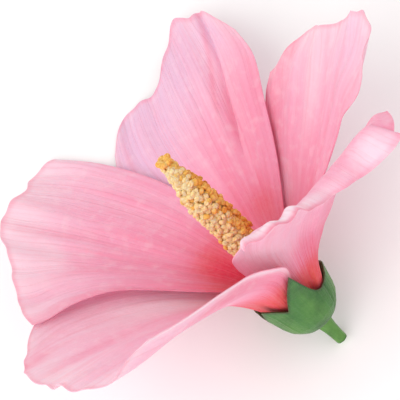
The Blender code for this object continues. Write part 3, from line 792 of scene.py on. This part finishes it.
def make_anthers(rng, materials):
    """Anthers in a spiral up the column, fewer across towards its tip. Gives back their places."""
    order = np.arange(ANTHER_COUNT)
    share = (order + 0.5) / ANTHER_COUNT
    height = ANTHER_FIRST + share * (ANTHER_LAST - ANTHER_FIRST)
    turn = order * GOLDEN_TURN + rng.uniform(-0.25, 0.25, ANTHER_COUNT)
    rise = rng.uniform(0.0, 0.5, ANTHER_COUNT)
    taper = 1 - 0.50 * smooth_step(0.70, 0.99, share) - 0.1 * (1 - smooth_step(0.0, 0.15, share))
    reach = ANTHER_REACH * taper * rng.uniform(0.72, 1.05, ANTHER_COUNT)
    outward = np.stack([np.cos(turn), np.sin(turn), rise], -1)
    flat = np.stack([np.cos(turn), np.sin(turn), 0 * turn], -1)
    centres = flat * (reach - ANTHER_SIZE[2])[:, None]
    centres[:, 2] = height + 0.6 * MM * rise
    wander = rng.normal(0, 0.25, (ANTHER_COUNT, 3))
    turns = frames(outward + wander, rng.uniform(0, math.tau, ANTHER_COUNT))
    sizes = np.array(ANTHER_SIZE)[None, :] * rng.uniform(0.85, 1.35, (ANTHER_COUNT, 1))
    points, faces = many(anther_shape(), centres, turns, sizes)
    obj = new_piece("anthers", points, faces, materials)
    # Anthers on the side away from the key lamp get darker tones and those facing it paler ones: painted
    # shade and painted light. Lower anthers are a little darker, and the rest of the spread is random.
    shade_and_tone = flat @ PAINTED_SHADE_SIDE + 0.25 * (1 - 2 * share) + rng.normal(0, 0.40, ANTHER_COUNT)
    tone = np.searchsorted(SHADE_AND_TONE_STEPS, shade_and_tone)
    obj.data.polygons.foreach_set("material_index", np.repeat(tone, len(faces) // ANTHER_COUNT))
    return centres


def make_filaments(centres, material):
    """A thin bent thread from the column to each anther."""
    turn = circle(THREAD_SIDES)
    flat = centres * [1, 1, 0]
    outward = flat / np.linalg.norm(flat, axis=1, keepdims=True)
    foot = outward * THREAD_FOOT + centres * [0, 0, 1] - [0, 0, THREAD_RISE]
    level = np.cross(outward, [0, 0, 1.0])[:, None, :] * np.cos(turn)[None, :, None]
    round_thread = level + np.sin(turn)[None, :, None] * [0, 0, 1.0]
    rings = []
    for share in np.linspace(0, 1, THREAD_ROWS):
        sag = np.array([0, 0, THREAD_SAG]) * math.sin(math.pi * share)
        middle = foot + (centres - foot) * share - sag
        radius = (0.13 - 0.05 * share) * MM
        rings.append(middle[:, None, :] + radius * round_thread)
    points = np.stack(rings, axis=1).reshape(-1, 3)
    each = THREAD_ROWS * THREAD_SIDES
    faces = []
    for i in range(len(centres)):
        faces += tube_faces(THREAD_ROWS, THREAD_SIDES, i * each)
    new_piece("filaments", points, faces, material)


def make_column(material):
    """The tube that carries the anthers, reddish at its foot and thicker under them."""
    turn = circle(COLUMN_SIDES)
    heights = np.linspace(COLUMN_HEIGHTS[0], COLUMN_HEIGHTS[-1], COLUMN_ROWS) * MM
    radii = through(np.array(COLUMN_HEIGHTS) * MM, np.array(COLUMN_RADII) * MM, heights)
    bed = smooth_step(*ANTHER_BED_FOOT, heights / MM) * (1 - smooth_step(*ANTHER_BED_TOP, heights / MM))
    radii = radii + ANTHER_BED * bed
    rings = []
    for height, radius in zip(heights, radii):
        wave = 1 + 0.035 * np.sin(5 * turn + 0.3 * height / MM) + 0.02 * np.sin(11 * turn)
        reach = radius * wave
        rings.append(np.stack([reach * np.cos(turn), reach * np.sin(turn), 0 * turn + height], -1))
    points = np.concatenate(rings)
    faces = tube_faces(COLUMN_ROWS, COLUMN_SIDES)
    obj = new_piece("column_tube", points, faces, material, "column")
    up = points[:, 2] / MM
    colours = mixed(linear("coral"), linear("gold"), smooth_step(4, 12, up))
    colours = mixed(colours, linear("cream"), 0.6 * smooth_step(12, 14, up))
    set_tint(obj, colours)
    set_map(obj, "fan", np.stack([np.tile(turn / math.tau, COLUMN_ROWS), up / 40], -1))


def make_style(rng, material):
    """Five short branches out of the column's tip, each with a round head."""
    turn = circle(STYLE_SIDES)
    foot = COLUMN_HEIGHTS[-1] * MM - 0.4 * MM
    points, faces = [], []
    for i in range(STYLE_BRANCHES):
        heading = i * math.tau / STYLE_BRANCHES + 0.3
        out = np.array([math.cos(heading), math.sin(heading), 0])
        lean = rng.uniform(0.55, 0.85) * MM
        top = STYLE_TOP + rng.uniform(-0.3, 0.4) * MM
        rings = []
        for share in np.linspace(0, 1, STYLE_ROWS):
            stem = 0.22 * MM + 0.10 * MM * share
            head = STIGMA_RADIUS * math.sqrt(max(0.0, 1 - ((share - 0.8) / 0.2) ** 2))
            radius = max(stem * (share < 0.8), head if share > 0.6 else 0, 0.06 * MM)
            middle = out * (0.25 * MM + lean * share**1.4) + [0, 0, foot + (top - foot) * share]
            rings.append(middle + radius * np.stack([np.cos(turn), np.sin(turn), 0 * turn], -1))
        faces += tube_faces(STYLE_ROWS, STYLE_SIDES, i * STYLE_ROWS * STYLE_SIDES)
        points.append(np.concatenate(rings))
    new_piece("stigmas", np.concatenate(points), faces, material, "style")


def principled(name, values):
    """A new material with values set on its shader. Gives back material, node tree and shader."""
    material = bpy.data.materials.new(name)
    material.use_nodes = True
    shader = material.node_tree.nodes["Principled BSDF"]
    for key, value in values.items():
        shader.inputs[key].default_value = value
    return material, material.node_tree, shader


def node(tree, kind, values=None, **settings):
    """A node with its settings, and its inputs set or linked by name."""
    made = tree.nodes.new("ShaderNode" + kind)
    for key, value in settings.items():
        setattr(made, key, value)
    for key, value in (values or {}).items():
        if isinstance(value, bpy.types.NodeSocket):
            tree.links.new(value, made.inputs[key])
        else:
            made.inputs[key].default_value = value
    return made


def wire(tree, shader, colour, roughness, normal):
    """Links a surface's colour, roughness and relief to its shader."""
    for key, socket in (("Base Color", colour), ("Roughness", roughness), ("Normal", normal)):
        tree.links.new(socket, shader.inputs[key])


def carried(tree):
    """The colour and the lengthwise map that a piece carries."""
    tint = node(tree, "Attribute", attribute_name="tint").outputs["Color"]
    return tint, node(tree, "UVMap", uv_map="fan").outputs["UV"]


def stretched(tree, vector, scale):
    return node(tree, "Mapping", {"Vector": vector, "Scale": scale}).outputs["Vector"]


def noise(tree, vector, scale, detail, rough=0.55, distortion=0.0):
    values = {"Vector": vector, "Scale": scale, "Detail": detail, "Roughness": rough}
    return node(tree, "TexNoise", {**values, "Distortion": distortion}).outputs["Fac"]


def remap(tree, value, low, high, to_low=0.0, to_high=1.0):
    values = {"Value": value, "From Min": low, "From Max": high, "To Min": to_low, "To Max": to_high}
    return node(tree, "MapRange", values).outputs["Result"]


def maths(tree, operation, one, other):
    return node(tree, "Math", {0: one, 1: other}, operation=operation).outputs["Value"]


def times(tree, one, other):
    return maths(tree, "MULTIPLY", one, other)


def blend(tree, factor, one, other):
    """Two colours mixed by a factor, through the Mix node's colour sockets."""
    return node(tree, "Mix", {0: factor, 6: one, 7: other}, data_type="RGBA").outputs[2]


def bump(tree, height, distance, strength):
    values = {"Height": height, "Distance": distance, "Strength": strength}
    return node(tree, "Bump", values).outputs["Normal"]


def plain(name):
    return (*linear(name), 1.0)


def vein_lines(tree, fan, count, width):
    """Thin lines that fan out along a petal and wander a little."""
    sway = noise(tree, stretched(tree, fan, (2.0, 2.5, 1.0)), 1.0, 2.0)
    phase = times(tree, sway, 9.0)
    wave = node(
        tree,
        "TexWave",
        {"Vector": fan, "Scale": count, "Distortion": 1.0, "Detail": 2.0, "Phase Offset": phase},
        wave_type="BANDS",
        bands_direction="X",
        wave_profile="TRI",
    ).outputs["Fac"]
    return remap(tree, wave, 1.0 - width, 1.0)


def petal_skin():
    """A petal's satin: its painted colour with pale and deep streaks, veins and a red foot."""
    material, tree, shader = principled(
        "petal_skin",
        {
            "Roughness": 0.6,
            "Specular IOR Level": 0.3,
            "Sheen Weight": 0.12,
            "Sheen Roughness": 0.5,
            "Sheen Tint": (1.0, 0.90, 0.94, 1.0),
            "Subsurface Weight": 0.2,
            "Subsurface Radius": (1.0, 0.45, 0.4),
            "Subsurface Scale": 0.6 * MM,
        },
    )
    tint, fan = carried(tree)
    along = node(tree, "SeparateXYZ", {"Vector": fan}).outputs["Y"]
    place = node(tree, "TexCoord").outputs["Object"]
    blade = remap(tree, along, 0.30, 0.50)
    broad = noise(tree, stretched(tree, fan, (5.0, 2.2, 1.0)), 1.0, 3.0, 0.5, 0.4)
    streaks = noise(tree, stretched(tree, fan, (26.0, 1.8, 1.0)), 1.0, 5.0, 0.6, 0.35)
    lighter = remap(tree, broad, 0.50, 0.75, 0.0, 0.30)
    lighter = maths(tree, "ADD", lighter, remap(tree, streaks, 0.52, 0.78, 0.0, 0.26))
    colour = blend(tree, times(tree, lighter, blade), tint, plain("shell"))
    deeper = remap(tree, broad, 0.48, 0.25, 0.0, 0.34)
    deeper = maths(tree, "ADD", deeper, remap(tree, streaks, 0.48, 0.24, 0.0, 0.26))
    colour = blend(tree, deeper, colour, plain("deep_rose"))
    veins = vein_lines(tree, fan, 2.6, 0.10)
    finer = vein_lines(tree, fan, 5.2, 0.10)
    finer = times(tree, finer, remap(tree, along, 0.4, 0.7, 0.0, 0.8))
    veins = maths(tree, "MAXIMUM", veins, finer)
    colour = blend(tree, times(tree, veins, 0.11), colour, plain("coral"))
    strokes = noise(tree, stretched(tree, fan, (60.0, 3.0, 1.0)), 1.0, 3.0, 0.6, 0.2)
    foot = remap(tree, along, 0.40, 0.16, 0.0, 1.0)
    foot = times(tree, foot, remap(tree, strokes, 0.46, 0.60, 0.0, 0.85))
    colour = blend(tree, foot, colour, plain("crimson"))
    cells = noise(tree, place, 1500.0, 3.0, 0.6)
    mottle = noise(tree, place, 520.0, 2.0, 0.5)
    pale = times(tree, remap(tree, mottle, 0.52, 0.72, 0.0, 0.20), blade)
    colour = blend(tree, pale, colour, plain("blush"))
    colour = blend(tree, remap(tree, cells, 0.3, 0.7, 0.0, 0.08), colour, plain("blush"))
    roughness = remap(tree, cells, 0.3, 0.7, 0.52, 0.7)
    height = times(tree, streaks, 1.2)
    for part, share in ((cells, 0.35), (veins, 0.25), (mottle, 0.5)):
        height = maths(tree, "ADD", height, times(tree, part, share))
    wire(tree, shader, colour, roughness, bump(tree, height, 0.2 * MM, 0.7))
    return material


def green_skin(name, streak_scale, down):
    """Green of calyx and stalk: fine lengthwise streaks, mottling and a dull down."""
    material, tree, shader = principled(
        name,
        {
            "Roughness": 0.6,
            "Specular IOR Level": 0.35,
            "Sheen Weight": down,
            "Sheen Roughness": 0.4,
            "Sheen Tint": (0.85, 0.95, 0.75, 1.0),
            "Subsurface Weight": 0.08,
            "Subsurface Scale": 0.5 * MM,
        },
    )
    tint, fan = carried(tree)
    place = node(tree, "TexCoord").outputs["Object"]
    streaks = noise(tree, stretched(tree, fan, streak_scale), 1.0, 4.0, 0.6)
    mottle = noise(tree, place, 260.0, 4.0, 0.6)
    colour = blend(tree, remap(tree, streaks, 0.45, 0.75, 0.0, 0.45), tint, plain("leaf_light"))
    colour = blend(tree, remap(tree, mottle, 0.55, 0.3, 0.0, 0.55), colour, plain("leaf_dark"))
    grain = noise(tree, place, 2600.0, 2.0, 0.5)
    roughness = remap(tree, grain, 0.3, 0.7, 0.5, 0.75)
    height = maths(tree, "ADD", streaks, times(tree, grain, 0.6))
    wire(tree, shader, colour, roughness, bump(tree, height, 0.18 * MM, 0.7))
    return material


def pollen_skin(name, light, dark):
    """An anther's grainy surface between two tones."""
    material, tree, shader = principled(
        name,
        {
            "Roughness": 0.75,
            "Specular IOR Level": 0.25,
            "Subsurface Weight": 0.35,
            "Subsurface Radius": (1.0, 0.7, 0.3),
            "Subsurface Scale": 0.6 * MM,
        },
    )
    place = node(tree, "TexCoord").outputs["Object"]
    grain = noise(tree, place, 3800.0, 3.0, 0.6)
    patch = noise(tree, place, 900.0, 2.0, 0.5)
    colour = blend(tree, remap(tree, grain, 0.30, 0.60), plain(dark), plain(light))
    colour = blend(tree, remap(tree, patch, 0.55, 0.8, 0.0, 0.6), colour, plain("cream"))
    roughness = remap(tree, grain, 0.3, 0.7, 0.9, 0.6)
    wire(tree, shader, colour, roughness, bump(tree, grain, 0.12 * MM, 0.9))
    return material


def column_skin():
    """The column's smooth tube, with pale lengthwise streaks."""
    material, tree, shader = principled(
        "column_skin",
        {
            "Roughness": 0.55,
            "Specular IOR Level": 0.4,
            "Subsurface Weight": 0.2,
            "Subsurface Scale": 0.6 * MM,
        },
    )
    tint, fan = carried(tree)
    streaks = noise(tree, stretched(tree, fan, (30.0, 3.0, 1.0)), 1.0, 4.0, 0.6)
    colour = blend(tree, remap(tree, streaks, 0.4, 0.7, 0.0, 0.5), tint, plain("cream"))
    roughness = remap(tree, streaks, 0.3, 0.7, 0.45, 0.65)
    wire(tree, shader, colour, roughness, bump(tree, streaks, 0.12 * MM, 0.7))
    return material


def thread_skin():
    """Pale threads under the anthers."""
    material, tree, shader = principled(
        "thread_skin",
        {
            "Roughness": 0.5,
            "Specular IOR Level": 0.4,
            "Subsurface Weight": 0.2,
            "Subsurface Scale": 0.3 * MM,
        },
    )
    place = node(tree, "TexCoord").outputs["Object"]
    patch = noise(tree, place, 1500.0, 3.0, 0.6)
    colour = blend(tree, remap(tree, patch, 0.35, 0.7), plain("cream"), plain("gold"))
    tree.links.new(colour, shader.inputs["Base Color"])
    tree.links.new(bump(tree, patch, 0.05 * MM, 0.6), shader.inputs["Normal"])
    return material


def make_floor():
    corners = [(x * FLOOR_HALF, y * FLOOR_HALF, 0) for x, y in ((-1, -1), (1, -1), (1, 1), (-1, 1))]
    mesh = bpy.data.meshes.new("floor")
    mesh.from_pydata(corners, [], [(0, 1, 2, 3)])
    material, tree, shader = principled("floor_paper", {"Roughness": 0.9, "Specular IOR Level": 0.1})
    place = node(tree, "TexCoord").outputs["Object"]
    cloud = noise(tree, place, 40.0, 3.0, 0.5)
    colour = blend(tree, remap(tree, cloud, 0.3, 0.7), FLOOR_DARK, FLOOR_LIGHT)
    tree.links.new(colour, shader.inputs["Base Color"])
    mesh.materials.append(material)
    new_object("floor", mesh)


def view_axes():
    """The picture's right, its up and the way back to the camera, in the bloom's frame."""
    axis = Vector((0, math.sin(VIEW_TILT), math.cos(VIEW_TILT)))
    across = Vector((1, 0, 0))
    right = across * math.cos(VIEW_ROLL) - axis * math.sin(VIEW_ROLL)
    up = across * math.sin(VIEW_ROLL) + axis * math.cos(VIEW_ROLL)
    back = Vector((0, -math.cos(VIEW_TILT), math.sin(VIEW_TILT)))
    return right, up, back


def make_camera():
    """The photograph's view, with its frame around the bloom as in the picture."""
    right, up, back = view_axes()
    middle = PICTURE_SIZE / 2
    aim = right * ((middle - PICTURE_ORIGIN[0]) * PICTURE_PIXEL)
    aim = aim + up * ((PICTURE_ORIGIN[1] - middle) * PICTURE_PIXEL)
    aim = aim + back * (VIEW_DEPTH * math.sin(VIEW_TILT))
    data = bpy.data.cameras.new("camera")
    data.sensor_width = SENSOR
    data.lens = SENSOR * CAMERA_DISTANCE / (PICTURE_SIZE * PICTURE_PIXEL)
    data.clip_start = CLIP_START
    camera = new_object("camera", data)
    turn = Matrix((right, up, back)).transposed().to_4x4()
    camera.matrix_world = BLOOM @ Matrix.Translation(aim + back * CAMERA_DISTANCE) @ turn
    bpy.context.scene.camera = camera


def make_light(name, direction, power, tone):
    """A soft square lamp in a direction given as picture right, picture up and towards the camera."""
    right, up, back = view_axes()
    way = BLOOM.to_3x3() @ (right * direction[0] + up * direction[1] + back * direction[2])
    way.normalize()
    data = bpy.data.lights.new(name, "AREA")
    data.size = LAMP_SIZE
    data.energy = power
    data.color = tone
    lamp = new_object(name, data)
    turn = way.to_track_quat("Z", "Y").to_matrix().to_4x4()
    lamp.matrix_world = Matrix.Translation(LAMP_AIM + way * LAMP_DISTANCE) @ turn


def make_world():
    world = bpy.data.worlds.new("studio")
    world.use_nodes = True
    sky = world.node_tree.nodes["Background"]
    sky.inputs["Color"].default_value = SKY_COLOUR
    sky.inputs["Strength"].default_value = SKY_STRENGTH
    bpy.context.scene.world = world


def main():
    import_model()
    bpy.context.scene.view_settings.view_transform = "Standard"
    rng = np.random.default_rng(SEED)
    skin = petal_skin()
    for seed, (name, changes) in enumerate(PETALS.items()):
        make_petal(name, {**COMMON, **changes}, skin, seed + 1)
    make_calyx(green_skin("calyx_green", (90.0, 3.0, 1.0), 0.25))
    make_stalk(green_skin("stalk_green", (14.0, 6.0, 1.0), 0.15))
    make_column(column_skin())
    pollen = [pollen_skin(f"pollen_{i}", *pair) for i, pair in enumerate(POLLEN_TONES)]
    centres = make_anthers(rng, pollen)
    make_filaments(centres, thread_skin())
    make_style(rng, pollen_skin("stigma_skin", "gold", "amber"))
    make_floor()
    make_camera()
    for lamp in LAMPS:
        make_light(*lamp)
    make_world()


main()
